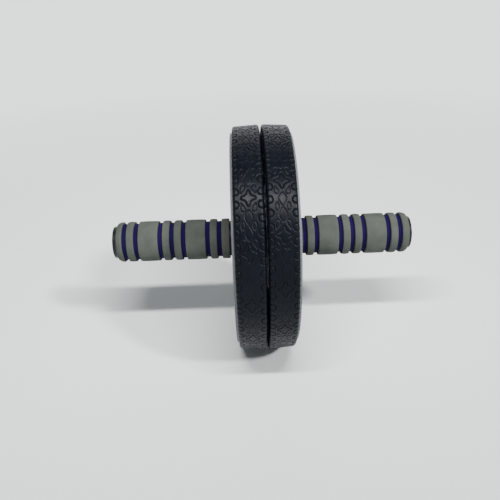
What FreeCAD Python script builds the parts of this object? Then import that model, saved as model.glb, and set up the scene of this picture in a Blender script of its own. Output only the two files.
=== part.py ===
import FreeCAD, Part
import math
import os
import re
import Sketcher

# Ab wheel roller: two tyred wheels that turn side by side on one rod, with a foam grip at each end.
# The rod lies along X, the floor is at Z = 0 under its middle, and lengths are in millimetres.

# Driving sizes: the name, the value and what it measures.
SIZES = (
    # Tyres
    ("tyre_radius", 90.5, "centre of the rod to the tread at its inner edge"),
    ("tread_taper", 1.2, "fall of the tread from its inner to its outer edge"),
    ("tyre_width", 21.0, "width of one tyre"),
    ("tyre_thickness", 7.8, "tread to rim seat"),
    ("tread_shoulder", 2.2, "rounding of both edges of the tread"),
    ("wheel_gap", 1.7, "slit between the two tyres"),
    ("tread_line_width", 0.8, "width of the lines cut into the tread"),
    ("tread_line_depth", 0.8, "depth of those lines"),
    ("star_count", 15, "stars round the middle of the tread"),
    ("star_reach", 5.8, "middle of a star to its points"),
    ("star_waist", 1.9, "middle of a star to the bottom of the hollows between its arms, along and across"),
    ("loops_per_star", 4, "half loops over one edge of the tread to each star"),
    ("loop_height", 5.0, "half loop, round the tyre"),
    ("loop_reach", 4.0, "half loop, in from the edge of the tyre"),
    # Wheel mouldings
    ("seat_key_width", 6.0, "rib round the seat that keys the tyre"),
    ("seat_key_height", 1.5, "height of that rib"),
    ("rim_lip_width", 1.6, "outer lip beside the tyre"),
    ("rim_lip_height", 1.6, "height of the lip above the seat"),
    ("rim_wall", 3.2, "wall under the seat"),
    ("web_setback", 1.75, "inner edge of the rim to the web"),
    ("web_thickness", 2.2, "web between hub and rim"),
    ("hub_wall", 3.2, "wall of the hub tube round the bushes"),
    ("hub_setback", 2.05, "outer face of the rim to the end of the hub tube"),
    ("hub_ring_radius", 20.7, "outside of the ring round the hub"),
    ("hub_ring_drop", 4.5, "outer face of the rim to the top of that ring"),
    ("mid_ring_radius", 44.8, "outside of the ring half way out"),
    ("mid_ring_drop", 8.0, "outer face of the rim to the top of that ring"),
    ("ring_wall", 2.2, "wall of both rings"),
    ("rib_thickness", 2.2, "radial ribs on the web"),
    ("rib_hub_drop", 3.0, "outer face of the rim to the rib's top at the hub"),
    ("rib_rim_drop", 3.5, "outer face of the rim to the rib's top at the rim"),
    ("inner_rib_count", 10, "ribs from the hub to the middle ring"),
    ("outer_rib_count", 20, "ribs from the middle ring to the rim"),
    ("slot_bar", 2.6, "bar of web left between two rows of slots"),
    ("slot_sweep", 24.0, "angle that a slot spans, in degrees"),
    # Rod, bushes and washers
    ("rod_radius", 6.0, "radius of the rod"),
    ("rod_chamfer", 0.6, "chamfer at the rod's ends"),
    ("bush_clearance", 0.06, "running clearance of a bush on the rod, all round"),
    ("bush_wall", 2.14, "wall of a bush"),
    ("bush_length", 9.0, "bush inside the hub"),
    ("bush_flange_rim", 2.4, "flange of a bush beyond its wall"),
    ("bush_flange_thickness", 1.2, "thickness of that flange"),
    ("side_play", 0.25, "running gap between a wheel and the washer that it turns against"),
    ("wheel_slide", 0.9, "end play that the wheels have taken up towards the right"),
    ("spacer_thickness", 2.0, "washer between the wheels"),
    ("spacer_rim", 4.0, "that washer beyond the rod"),
    ("thrust_washer_thickness", 1.0, "washer between wheel and handle"),
    ("thrust_washer_rim", 5.6, "that washer beyond the rod"),
    # Handle cores and the screws that hold them
    ("core_flange_thickness", 1.3, "collar at the inner end of a handle core"),
    ("core_flange_rim", 3.4, "that collar beyond the tube"),
    ("core_radius", 11.0, "outside of the tube under the foam"),
    ("core_wall", 2.4, "wall of the tube round the pocket for screw head and end cap"),
    ("core_end_wall", 4.0, "wall that the rod's end stands against"),
    ("screw_radius", 3.0, "shank of the retaining screw"),
    ("screw_clearance", 0.3, "shank in the end wall, all round"),
    ("screw_grip", 16.0, "length of screw in the rod"),
    ("screw_hole_spare", 4.0, "tapped hole deeper than the screw"),
    ("screw_head_rim", 2.0, "screw head beyond its shank"),
    ("screw_head_height", 3.5, "height of the head"),
    ("screw_head_round", 1.2, "rounding of the head"),
    ("socket_width", 4.0, "hexagon socket across its flats"),
    ("socket_depth", 2.2, "depth of the socket"),
    ("screw_washer_clearance", 0.6, "washer under the head in the pocket, all round"),
    ("screw_washer_thickness", 1.4, "thickness of that washer"),
    # Foam grips and end caps
    ("sleeve_thickness", 3.7, "purple inner layer"),
    ("groove_depth", 1.9, "grey outer layer, cut through by the grooves"),
    ("groove_width", 3.4, "grooves that show the purple layer"),
    ("band_end_width", 6.5, "grey band beside the wheel"),
    ("band_tip_width", 4.5, "grey band at the grip's outer end"),
    ("band_narrow_width", 5.9, "narrow grey bands"),
    ("band_wide_width", 16.0, "wide grey bands"),
    ("band_round", 1.1, "rounding of the bands' edges"),
    ("cap_rim", 2.0, "end cap beyond the tube"),
    ("cap_edge", 3.6, "thickness of the cap at its edge"),
    ("cap_dome", 1.4, "rise of the dome"),
    ("cap_spigot_wall", 1.8, "wall of the spigot in the core"),
    ("cap_spigot_length", 7.0, "length of the spigot"),
    ("cap_spigot_gap", 4.55, "end of the spigot to the washer under the screw head"),
)

# Places along the rod, measured from the middle of the roller towards its end, with the wheels centred.
PLACES = {
    "tyre_in": "wheel_gap / 2",
    "tyre_out": "tyre_in + tyre_width",
    "tyre_middle": "tyre_in + tyre_width / 2",
    "key_in": "tyre_middle - seat_key_width / 2",
    "key_out": "tyre_middle + seat_key_width / 2",
    "rim_out": "tyre_out + rim_lip_width",
    "web_in": "tyre_in + web_setback",
    "web_out": "web_in + web_thickness",
    "hub_ring_top": "rim_out - hub_ring_drop",
    "mid_ring_top": "rim_out - mid_ring_drop",
    "wheel_in": "spacer_thickness / 2 + side_play",
    "hub_in": "wheel_in + bush_flange_thickness",
    "hub_out": "rim_out - hub_setback",
    "wheel_out": "hub_out + bush_flange_thickness",
    "washer_in": "wheel_out + wheel_slide + side_play",
    "core_in": "washer_in + thrust_washer_thickness",
    "grip_in": "core_in + core_flange_thickness",
    "end_bands": "band_end_width + band_tip_width",
    "grip_length": "end_bands + 4 * band_narrow_width + 2 * band_wide_width + 7 * groove_width",
    "grip_out": "grip_in + grip_length",
    "wall_out": "grip_out - cap_spigot_length - cap_spigot_gap - screw_washer_thickness",
    "rod_out": "wall_out - core_end_wall",
    "rod_length": "2 * rod_out",
    "head_in": "wall_out + screw_washer_thickness",
    "head_out": "head_in + screw_head_height",
    "screw_in": "rod_out - screw_grip",
}

# Distances out from the rod's centre line, and the step from one row of slots to the next.
SLOT_ROWS = 3
RADII = {
    "seat_radius": "tyre_radius - tyre_thickness",
    "key_radius": "seat_radius + seat_key_height",
    "lip_radius": "seat_radius + rim_lip_height",
    "barrel_radius": "seat_radius - rim_wall",
    "bush_bore": "rod_radius + bush_clearance",
    "bush_radius": "bush_bore + bush_wall",
    "bush_flange_radius": "bush_radius + bush_flange_rim",
    "hub_radius": "bush_radius + hub_wall",
    "slot_pitch": f"(mid_ring_radius - ring_wall - hub_ring_radius) / {SLOT_ROWS}",
    "spacer_radius": "rod_radius + spacer_rim",
    "thrust_washer_radius": "rod_radius + thrust_washer_rim",
    "core_flange_radius": "core_radius + core_flange_rim",
    "core_pocket_radius": "core_radius - core_wall",
    "screw_head_radius": "screw_radius + screw_head_rim",
    "screw_washer_radius": "core_pocket_radius - screw_washer_clearance",
    "sleeve_radius": "core_radius + sleeve_thickness",
    "grip_radius": "sleeve_radius + groove_depth",
    "cap_radius": "core_radius + cap_rim",
}
KNOWN = {**PLACES, **RADII}

# The grey bands in order from the wheel to the grip's outer end.
BANDS = ("end", "narrow", "wide", "narrow", "narrow", "wide", "narrow", "tip")

# Which way round a piece lies: the left-hand pieces are the right-hand ones turned half a turn.
HALF_TURN = {"left": 180, "right": 0}
# How far each tyre has rolled from having a star on top, in degrees.
ROLLED = {"left": 0.7, "right": 15.5}
FULL_TURN = 360
SAME = 1e-4

doc = FreeCAD.newDocument("ab_wheel_roller")
sheet = doc.addObject("Spreadsheet::Sheet", "Sizes")
for row, (alias, value, meaning) in enumerate(SIZES, start=1):
    sheet.set(f"A{row}", meaning)
    sheet.set(f"B{row}", str(value))
    sheet.setAlias(f"B{row}", alias)
doc.recompute()


def formula(words):
    """Writes a sum of named sizes and places in the cells of the sheet."""
    def in_cells(found):
        name = found.group()
        if name in KNOWN:
            return f"({formula(KNOWN[name])})"
        return f"Sizes.{name}"
    return re.sub(r"\b[a-z][a-z_]*\b(?!\()", in_cells, words)


def measure(words):
    """The present value of such a sum."""
    return float(sheet.evalExpression(formula(words)))


def origin_part(body, role):
    """The body's own origin plane or axis that has this role."""
    return next(part for part in body.Origin.OriginFeatures if part.Role == role)


def new_body(label, side=None, slide="0", rolled=0):
    """A body whose X axis is the rod's centre line, slid along it by a formula and rolled about it."""
    body = doc.addObject("PartDesign::Body", label)
    body.Label = label
    if side:
        half_turn = FreeCAD.Rotation(FreeCAD.Vector(0, 0, 1), HALF_TURN[side])
        body.Placement.Rotation = half_turn * FreeCAD.Rotation(FreeCAD.Vector(1, 0, 0), rolled)
    body.setExpression("Placement.Base.x", formula(slide))
    body.setExpression("Placement.Base.z", formula("tyre_radius"))
    return body


def sketch_in(body, name, plane="XZ_Plane"):
    """An empty sketch, by default with the rod along and the radius up."""
    sketch = body.newObject("Sketcher::SketchObject", name)
    sketch.AttachmentSupport = (origin_part(body, plane), [""])
    sketch.MapMode = "FlatFace"
    return sketch


def fix_point(sketch, line, point):
    """Ties the start of a line to its two formulas."""
    for kind, axis, words in (("DistanceX", -2, point[0]), ("DistanceY", -1, point[1])):
        if words == "0":
            sketch.addConstraint(Sketcher.Constraint("PointOnObject", line, 1, axis))
            continue
        index = sketch.addConstraint(Sketcher.Constraint(kind, -1, 1, line, 1, measure(words)))
        sketch.setExpression(f"Constraints[{index}]", formula(words))


def draw(sketch, points):
    """Adds a closed outline, each point a pair of formulas."""
    spots = [FreeCAD.Vector(measure(along), measure(out), 0) for along, out in points]
    first = sketch.GeometryCount
    for here, there in zip(spots, spots[1:] + spots[:1]):
        sketch.addGeometry(Part.LineSegment(here, there))
    count = len(points)
    for step in range(count):
        end, start = first + step, first + (step + 1) % count
        sketch.addConstraint(Sketcher.Constraint("Coincident", end, 2, start, 1))
    for step, point in enumerate(points):
        fix_point(sketch, first + step, point)


def block(along_in, along_out, out_in, out_out):
    """The outline of a plain ring."""
    return [(along_in, out_in), (along_out, out_in), (along_out, out_out), (along_in, out_out)]


def turn(body, name, *outlines):
    """Turns outlines about the rod."""
    sketch = sketch_in(body, f"{name}_outline")
    for points in outlines:
        draw(sketch, points)
    solid = body.newObject("PartDesign::Revolution", name)
    solid.Profile = sketch
    solid.ReferenceAxis = (sketch, ["H_Axis"])
    solid.Angle = FULL_TURN
    body.Tip = solid
    doc.recompute()
    return solid


def round_edges(body, kind, size, chosen):
    """Rounds or chamfers the circular edges that the choice picks by place and radius."""
    base = body.Tip
    names = []
    for number, edge in enumerate(base.Shape.Edges, start=1):
        if isinstance(edge.Curve, Part.Circle) and chosen(edge.Curve.Center.x, edge.Curve.Radius):
            names.append(f"Edge{number}")
    feature = body.newObject(f"PartDesign::{kind}", f"{body.Name}_{kind.lower()}")
    feature.Base = (base, names)
    feature.setExpression("Radius" if kind == "Fillet" else "Size", formula(size))
    body.Tip = feature
    doc.recompute()


def near(value, words):
    """Whether a measured value is the one that a formula gives."""
    return abs(value - measure(words)) < SAME


def repeat_round(body, feature, count):
    """Repeats a feature evenly about the rod."""
    pattern = body.newObject("PartDesign::PolarPattern", f"{feature.Name}_round")
    pattern.Originals = [feature]
    pattern.Axis = (origin_part(body, "X_Axis"), [""])
    pattern.Angle = FULL_TURN
    pattern.setExpression("Occurrences", formula(count))
    body.Tip = pattern
    doc.recompute()


def axle_rod():
    """Steel rod with a tapped hole in each end."""
    body = new_body("axle_rod", slide="-rod_length / 2")
    hole = "(screw_grip + screw_hole_spare)"
    points = [
        ("0", "screw_radius"), ("0", "rod_radius"),
        ("rod_length", "rod_radius"), ("rod_length", "screw_radius"),
        (f"rod_length - {hole}", "screw_radius"), (f"rod_length - {hole}", "0"),
        (hole, "0"), (hole, "screw_radius"),
    ]
    turn(body, "rod", points)
    round_edges(body, "Chamfer", "rod_chamfer", lambda along, radius: near(radius, "rod_radius"))
    return body


def centre_spacer():
    """Washer on the rod between the two hubs."""
    body = new_body("centre_spacer", slide="wheel_slide - spacer_thickness / 2")
    turn(body, "spacer", block("0", "spacer_thickness", "rod_radius", "spacer_radius"))
    return body


def tyre(side):
    """Rubber tyre, keyed on its rim, with rounded edges and the main lines of its tread."""
    body = new_body(f"tyre_{side}", side, "wheel_slide", ROLLED[side])
    outer_radius = "tyre_radius - tread_taper"
    points = [
        ("tyre_in", "seat_radius"), ("key_in", "seat_radius"), ("key_in", "key_radius"),
        ("key_out", "key_radius"), ("key_out", "seat_radius"), ("tyre_out", "seat_radius"),
        ("tyre_out", outer_radius), ("tyre_in", "tyre_radius"),
    ]
    turn(body, f"tyre_ring_{side}", points)
    round_edges(body, "Fillet", "tread_shoulder",
                lambda along, radius: near(radius, "tyre_radius") or near(radius, outer_radius))
    cut_tread(body, f"stars_{side}", star_outlines(), "star_count")
    cut_tread(body, f"loops_{side}", loop_outlines(), "star_count * loops_per_star")
    return body


def star_outlines():
    """Both edges of the line round a star, across and along the tread from its middle."""
    outlines = []
    for share in ("1", "(1 - tread_line_width / (star_waist * sqrt(2)))"):
        tip = f"star_reach * {share}"
        waist = f"star_waist * {share}"
        corners = [(tip, "0"), (waist, waist), ("0", tip), (f"-{waist}", waist)]
        corners += [(f"-{tip}", "0"), (f"-{waist}", f"-{waist}"), ("0", f"-{tip}"), (waist, f"-{waist}")]
        outlines.append(corners)
    return outlines


def loop_outlines():
    """The lines of a half loop over the outer and the inner edge of the tread, beside a star."""
    middle = f"{math.pi} * tyre_radius / (star_count * loops_per_star)"
    high, low = f"{middle} + loop_height / 2", f"{middle} - loop_height / 2"
    outlines = []
    for sign in ("", "-"):
        edge = f"{sign}(tyre_width / 2 + tread_line_width)"
        tip = f"{sign}(tyre_width / 2 - loop_reach)"
        inside = f"{sign}(tyre_width / 2 - loop_reach + tread_line_width)"
        corners = [(edge, low), (tip, low), (tip, high), (edge, high)]
        corners += [(edge, f"{high} - tread_line_width"), (inside, f"{high} - tread_line_width")]
        corners += [(inside, f"{low} + tread_line_width"), (edge, f"{low} + tread_line_width")]
        outlines.append(corners)
    return outlines


def cut_tread(body, name, outlines, count):
    """Cuts lines into the tread from a plane that lies on it, and repeats them round the tyre."""
    sketch = sketch_in(body, f"{name}_outline", "XY_Plane")
    slope = "atan(tread_taper / tyre_width)"
    sketch.AttachmentOffset = FreeCAD.Placement(
        FreeCAD.Vector(), FreeCAD.Rotation(FreeCAD.Vector(0, 1, 0), measure(slope)))
    sketch.setExpression("AttachmentOffset.Rotation.Angle", formula(slope))
    sketch.setExpression("AttachmentOffset.Base.x", formula("tyre_middle"))
    sketch.setExpression("AttachmentOffset.Base.z", formula("tyre_radius - tread_taper / 2"))
    for corners in outlines:
        draw(sketch, corners)
    before = body.Shape.Volume
    lines = body.newObject("PartDesign::Pocket", name)
    lines.Profile = sketch
    lines.setExpression("Length", formula("tread_line_depth"))
    body.Tip = lines
    doc.recompute()
    repeat_round(body, lines, count)
    assert body.Shape.Volume < before, "the tread lines cut nothing"


def wheel_rim(side):
    """Plastic wheel: rim with an outer lip, web set near the inner side, hub tube, rings and ribs."""
    body = new_body(f"wheel_rim_{side}", side, "wheel_slide")
    hub_ring = ("hub_ring_radius - ring_wall", "hub_ring_radius", "hub_ring_top")
    mid_ring = ("mid_ring_radius - ring_wall", "mid_ring_radius", "mid_ring_top")
    points = [("hub_in", "bush_radius"), ("hub_in", "hub_radius"), ("web_in", "hub_radius")]
    points += [("web_in", "barrel_radius"), ("tyre_in", "barrel_radius"), ("tyre_in", "seat_radius")]
    points += [("key_in", "seat_radius"), ("key_in", "key_radius"), ("key_out", "key_radius")]
    points += [("key_out", "seat_radius"), ("tyre_out", "seat_radius"), ("tyre_out", "lip_radius")]
    points += [("rim_out", "lip_radius"), ("rim_out", "barrel_radius"), ("web_out", "barrel_radius")]
    for inside, outside, top in (mid_ring, hub_ring):
        points += [("web_out", outside), (top, outside), (top, inside), ("web_out", inside)]
    points += [("web_out", "hub_radius"), ("hub_out", "hub_radius"), ("hub_out", "bush_radius")]
    turn(body, f"wheel_{side}", points)
    add_ribs(body, side)
    cut_slots(body, side)
    return body


def add_ribs(body, side):
    """Ribs that slope down from the hub to the middle ring and up again to the rim."""
    middle = "mid_ring_radius - ring_wall / 2"
    runs = {
        "inner": ("hub_radius - hub_wall / 2", "rim_out - rib_hub_drop", middle, "mid_ring_top"),
        "outer": (middle, "mid_ring_top", "barrel_radius + rim_wall / 2", "rim_out - rib_rim_drop"),
    }
    foot = "web_in + web_thickness / 2"
    for name, (start, start_top, stop, stop_top) in runs.items():
        sketch = sketch_in(body, f"{name}_rib_outline_{side}")
        half_bay = f"{FULL_TURN} / (2 * {name}_rib_count)"
        sketch.AttachmentOffset = FreeCAD.Placement(
            FreeCAD.Vector(), FreeCAD.Rotation(FreeCAD.Vector(1, 0, 0), measure(half_bay)))
        sketch.setExpression("AttachmentOffset.Rotation.Angle", formula(half_bay))
        draw(sketch, [(foot, start), (start_top, start), (stop_top, stop), (foot, stop)])
        rib = body.newObject("PartDesign::Pad", f"{name}_rib_{side}")
        rib.Profile = sketch
        rib.Midplane = True
        rib.setExpression("Length", formula("rib_thickness"))
        doc.recompute()
        repeat_round(body, rib, f"{name}_rib_count")


def cut_slots(body, side):
    """Three rows of curved slots through the web, one set in each bay between the inner ribs."""
    sketch = sketch_in(body, f"slot_outline_{side}")
    for row in range(SLOT_ROWS):
        low = f"hub_ring_radius + {row} * slot_pitch + slot_bar / 2"
        high = f"{low} + slot_pitch - slot_bar"
        draw(sketch, block("web_in - web_thickness", "web_out + web_thickness", low, high))
    before = body.Shape.Volume
    slots = body.newObject("PartDesign::Groove", f"slots_{side}")
    slots.Profile = sketch
    slots.ReferenceAxis = (sketch, ["H_Axis"])
    slots.Midplane = True
    slots.setExpression("Angle", formula("slot_sweep"))
    body.Tip = slots
    doc.recompute()
    repeat_round(body, slots, "inner_rib_count")
    assert body.Shape.Volume < before, "the slots cut nothing"


def bush(side, end):
    """Flanged bush pressed into one end of a hub."""
    body = new_body(f"bush_{end}_{side}", side, "wheel_slide")
    if end == "inner":
        flange_out, flange_in, tube_end = "wheel_in", "hub_in", "hub_in + bush_length"
    else:
        flange_out, flange_in, tube_end = "wheel_out", "hub_out", "hub_out - bush_length"
    points = [
        (flange_out, "bush_bore"), (flange_out, "bush_flange_radius"), (flange_in, "bush_flange_radius"),
        (flange_in, "bush_radius"), (tube_end, "bush_radius"), (tube_end, "bush_bore"),
    ]
    turn(body, f"{end}_bush_{side}", points)
    return body


def thrust_washer(side):
    """Washer on the rod between the wheel and the handle."""
    body = new_body(f"thrust_washer_{side}", side)
    turn(body, f"washer_{side}", block("washer_in", "core_in", "rod_radius", "thrust_washer_radius"))
    return body


def handle_core(side):
    """Plastic tube under the foam, with a collar by the wheel and a wall across the rod's end."""
    body = new_body(f"handle_core_{side}", side)
    hole = "screw_radius + screw_clearance"
    points = [
        ("core_in", "rod_radius"), ("core_in", "core_flange_radius"), ("grip_in", "core_flange_radius"),
        ("grip_in", "core_radius"), ("grip_out", "core_radius"), ("grip_out", "core_pocket_radius"),
        ("wall_out", "core_pocket_radius"), ("wall_out", hole), ("rod_out", hole), ("rod_out", "rod_radius"),
    ]
    turn(body, f"core_{side}", points)
    return body


def grip_sleeve(side):
    """Purple inner layer of the foam grip."""
    body = new_body(f"grip_sleeve_{side}", side)
    turn(body, f"sleeve_{side}", block("grip_in", "grip_out", "core_radius", "sleeve_radius"))
    return body


def grip_bands(side):
    """Grey outer layer of the foam grip, ground into bands by the grooves."""
    body = new_body(f"grip_bands_{side}", side)
    body.AllowCompound = True
    start = "grip_in"
    rings = []
    for name in BANDS:
        stop = f"{start} + band_{name}_width"
        rings.append(block(start, stop, "sleeve_radius", "grip_radius"))
        start = f"{stop} + groove_width"
    turn(body, f"bands_{side}", *rings)
    round_edges(body, "Fillet", "band_round", lambda along, radius: near(radius, "grip_radius"))
    return body


def end_cap(side):
    """Domed plug in the outer end of a handle core."""
    body = new_body(f"end_cap_{side}", side)
    edge = "grip_out + cap_edge"
    inside = "core_pocket_radius - cap_spigot_wall"
    tip = "grip_out - cap_spigot_length"
    points = [
        ("grip_out", "0"), ("grip_out", inside), (tip, inside), (tip, "core_pocket_radius"),
        ("grip_out", "core_pocket_radius"), ("grip_out", "cap_radius"), (edge, "cap_radius"), (edge, "0"),
    ]
    turn(body, f"cap_{side}", points)
    add_dome(body, side, edge)
    return body


def add_dome(body, side, edge):
    """The low dome over the cap's face, a cap cut from a large ball."""
    sketch = sketch_in(body, f"dome_outline_{side}")
    top = f"{edge} + cap_dome"
    draw_dome(sketch, edge, top)
    dome = body.newObject("PartDesign::Revolution", f"dome_{side}")
    dome.Profile = sketch
    dome.ReferenceAxis = (sketch, ["H_Axis"])
    dome.Angle = FULL_TURN
    body.Tip = dome
    doc.recompute()


def draw_dome(sketch, edge, top):
    """Half of the dome's section: foot along the cap's face, arc, and the centre line."""
    low, high, rise = measure(edge), measure(top), measure("cap_dome")
    reach = measure("cap_radius")
    ball = (reach ** 2 + rise ** 2) / (2 * rise)
    centre = FreeCAD.Vector(high - ball, 0, 0)
    sweep = math.atan2(reach, low - centre.x)
    circle = Part.Circle(centre, FreeCAD.Vector(0, 0, 1), ball)
    foot = FreeCAD.Vector(low, 0, 0)
    sketch.addGeometry(Part.LineSegment(foot, FreeCAD.Vector(low, reach, 0)))
    sketch.addGeometry(Part.ArcOfCircle(circle, 0, sweep))
    sketch.addGeometry(Part.LineSegment(FreeCAD.Vector(high, 0, 0), foot))
    for joined in ((0, 2, 1, 2), (1, 1, 2, 1), (2, 2, 0, 1)):
        sketch.addConstraint(Sketcher.Constraint("Coincident", *joined))
    sketch.addConstraint(Sketcher.Constraint("PointOnObject", 1, 3, -1))
    sketch.addConstraint(Sketcher.Constraint("Vertical", 0))
    fix_point(sketch, 0, (edge, "0"))
    fix_point(sketch, 2, (top, "0"))
    index = sketch.addConstraint(Sketcher.Constraint("DistanceY", -1, 1, 0, 2, reach))
    sketch.setExpression(f"Constraints[{index}]", formula("cap_radius"))


def retaining_washer(side):
    """Washer under the head of the retaining screw."""
    body = new_body(f"retaining_washer_{side}", side)
    hole = "screw_radius + screw_clearance"
    turn(body, f"screw_washer_{side}", block("wall_out", "head_in", hole, "screw_washer_radius"))
    return body


def retaining_screw(side):
    """Socket screw into the rod's end."""
    body = new_body(f"retaining_screw_{side}", side)
    points = [
        ("screw_in", "0"), ("screw_in", "screw_radius"), ("head_in", "screw_radius"),
        ("head_in", "screw_head_radius"), ("head_out", "screw_head_radius"), ("head_out", "0"),
    ]
    turn(body, f"screw_{side}", points)
    round_edges(body, "Fillet", "screw_head_round",
                lambda along, radius: near(radius, "screw_head_radius") and near(along, "head_out"))
    cut_socket(body, side)
    return body


def cut_socket(body, side):
    """Hexagon socket in the screw's head."""
    sketch = sketch_in(body, f"socket_outline_{side}", "YZ_Plane")
    sketch.setExpression("AttachmentOffset.Base.z", formula("head_out"))
    corner = "socket_width / 2"
    half_side = "socket_width / 2 * tan(30)"
    reach = "socket_width / 2 / cos(30)"
    spots = [(corner, half_side), ("0", reach), (f"-{corner}", half_side)]
    spots += [(f"-{corner}", f"-{half_side}"), ("0", f"-({reach})"), (corner, f"-{half_side}")]
    draw(sketch, spots)
    before = body.Shape.Volume
    socket = body.newObject("PartDesign::Pocket", f"socket_{side}")
    socket.Profile = sketch
    socket.setExpression("Length", formula("socket_depth"))
    body.Tip = socket
    doc.recompute()
    assert body.Shape.Volume < before, "the socket cuts nothing"


pieces = [axle_rod(), centre_spacer()]
for side in HALF_TURN:
    pieces += [tyre(side), wheel_rim(side), bush(side, "inner"), bush(side, "outer")]
    pieces += [thrust_washer(side), handle_core(side), grip_sleeve(side), grip_bands(side)]
    pieces += [end_cap(side), retaining_washer(side), retaining_screw(side)]
doc.recompute()

for thing in doc.Objects:
    assert not {"Invalid", "Error"} & set(thing.State), f"{thing.Label} failed to rebuild"
for piece in pieces:
    assert not piece.Shape.isNull() and piece.Shape.isValid(), f"{piece.Label} is not a sound solid"

os.makedirs("parts", exist_ok=True)
for piece in pieces:
    piece.Shape.exportStep(f"parts/{piece.Label}.step")
    box = piece.Shape.BoundBox
    print(piece.Label, len(piece.Shape.Solids), "solids", round(piece.Shape.Volume), "mm3",
          [round(v, 2) for v in (box.XMin, box.XMax, box.YMin, box.YMax, box.ZMin, box.ZMax)])
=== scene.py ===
# %% [markdown]
# # A twin ab wheel in Blender
#
# The roller is two tyred wheels side by side on a steel rod, with a banded foam grip at
# each end. Its solids are already built and packed, so every size and place is known.
# Blender's share of the work is what solids leave out: the tread cut into the rubber, the
# softness of the foam, the grain of the mouldings, the light and the camera.

# %% Load the solids
import math

import bmesh
import bpy
import numpy as np
from mathutils import Matrix, Vector, noise


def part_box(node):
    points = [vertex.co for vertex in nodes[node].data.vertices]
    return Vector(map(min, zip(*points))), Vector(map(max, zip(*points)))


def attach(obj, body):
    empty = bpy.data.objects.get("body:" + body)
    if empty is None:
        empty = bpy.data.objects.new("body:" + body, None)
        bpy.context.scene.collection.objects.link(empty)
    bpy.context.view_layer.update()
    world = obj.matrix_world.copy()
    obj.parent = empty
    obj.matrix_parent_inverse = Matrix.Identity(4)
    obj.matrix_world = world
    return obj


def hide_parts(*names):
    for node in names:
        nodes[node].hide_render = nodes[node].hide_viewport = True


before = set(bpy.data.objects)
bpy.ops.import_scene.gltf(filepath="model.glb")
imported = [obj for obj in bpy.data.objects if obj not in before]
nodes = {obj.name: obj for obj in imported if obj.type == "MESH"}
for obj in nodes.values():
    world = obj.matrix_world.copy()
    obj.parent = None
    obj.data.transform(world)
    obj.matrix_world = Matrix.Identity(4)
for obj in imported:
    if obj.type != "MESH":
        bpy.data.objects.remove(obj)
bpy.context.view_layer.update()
MM = 0.001

# %% [markdown]
# Everything on the roller is turned about one line, the axle. Its height could be typed in
# again here, but then it could drift away from the solids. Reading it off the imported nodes
# keeps the two models together. The sizes of the tyres and the grips are read off in the
# same way, where they are needed.

# %% Find the axle
rod_low, rod_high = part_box("axle_rod")
AXLE_HEIGHT = (rod_low.z + rod_high.z) / 2
print(f"axle {AXLE_HEIGHT:.4f} m up")

# %% [markdown]
# ## The camera
#
# The photograph looks down at the roller from the front, from close by, and the frame is
# turned a little so that the grips slope up to the right. A camera could be aimed with a
# constraint, but three plain angles say the same thing and are easy to adjust one by one.

# %% Aim the camera
CAMERA_DOWN = math.radians(27.2)
CAMERA_TURN = math.radians(0.29)
CAMERA_ROLL = math.radians(-1.96)

ahead = Vector((
    math.sin(CAMERA_TURN) * math.cos(CAMERA_DOWN),
    math.cos(CAMERA_TURN) * math.cos(CAMERA_DOWN),
    -math.sin(CAMERA_DOWN),
))
level = Vector((math.cos(CAMERA_TURN), -math.sin(CAMERA_TURN), 0))
upright = level.cross(ahead)
across = level * math.cos(CAMERA_ROLL) + upright * math.sin(CAMERA_ROLL)
above = across.cross(ahead)
turn = Matrix((across, above, -ahead)).transposed().to_4x4()
print(f"camera looks {math.degrees(CAMERA_DOWN):.1f} degrees down")


# %% Put a new object into the scene
def put(name, data):
    """A new object that holds the data, linked into the scene."""
    item = bpy.data.objects.new(name, data)
    bpy.context.collection.objects.link(item)
    return item


# %% Place the camera
CAMERA_FROM_WHEELS = Vector((-12.0, -385.9, 186.7)) * MM
LENS_PIXELS = 520
PHOTO_PIXELS = 500
SENSOR = 36
NEAREST_SEEN = 10 * MM

camera_data = bpy.data.cameras.new("camera")
camera_data.sensor_width = SENSOR
camera_data.lens = SENSOR * LENS_PIXELS / PHOTO_PIXELS
camera_data.clip_start = NEAREST_SEEN
camera = put("camera", camera_data)
wheels_middle = Vector((0, 0, AXLE_HEIGHT))
camera.matrix_world = Matrix.Translation(wheels_middle + CAMERA_FROM_WHEELS) @ turn
bpy.context.scene.camera = camera
print(f"lens {camera_data.lens:.1f} mm, {CAMERA_FROM_WHEELS.length:.3f} m from the wheels")


# %% [markdown]
# ## Skins made of rings
#
# Nearly every piece here is a lathe form. The Screw modifier or `bmesh.ops.spin` would turn
# an outline round the axle, but the tread and the soft foam also need each point pushed in
# by its own amount. So the outline is turned with arrays: one row of points for each step
# round the axle, pushed in along the outline's own normals, and joined into quads.

# %% Outlines from straight runs and arcs
def run(start, end, count):
    """Points from start up to, but not including, end."""
    return np.linspace(start, end, count, endpoint=False)


def arc(centre, radius, start, end, count):
    """Points on an arc from one angle in degrees up to, but not including, another."""
    angle = np.radians(np.linspace(start, end, count, endpoint=False))
    return np.column_stack((centre[0] + radius * np.cos(angle), centre[1] + radius * np.sin(angle)))


def outward(outline):
    """The unit normal at each point of a closed outline that runs anticlockwise."""
    along = np.roll(outline, -1, axis=0) - np.roll(outline, 1, axis=0)
    along /= np.linalg.norm(along, axis=1, keepdims=True)
    return np.column_stack((along[:, 1], -along[:, 0]))


# %% Turn an outline round the axle
def turned_points(outline, steps, pushed_in=0, first_angle=0):
    """Rings of points: an outline of (x, radius), turned in steps, each point pushed in."""
    angle = first_angle + np.linspace(0, math.tau, steps, endpoint=False)[:, None]
    normal = outward(outline)
    x = outline[:, 0] - pushed_in * normal[:, 0]
    radius = outline[:, 1] - pushed_in * normal[:, 1]
    x, radius = np.broadcast_arrays(x + 0 * angle, radius + 0 * angle)
    return np.stack((x, -radius * np.cos(angle), AXLE_HEIGHT + radius * np.sin(angle)), axis=-1)


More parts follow.
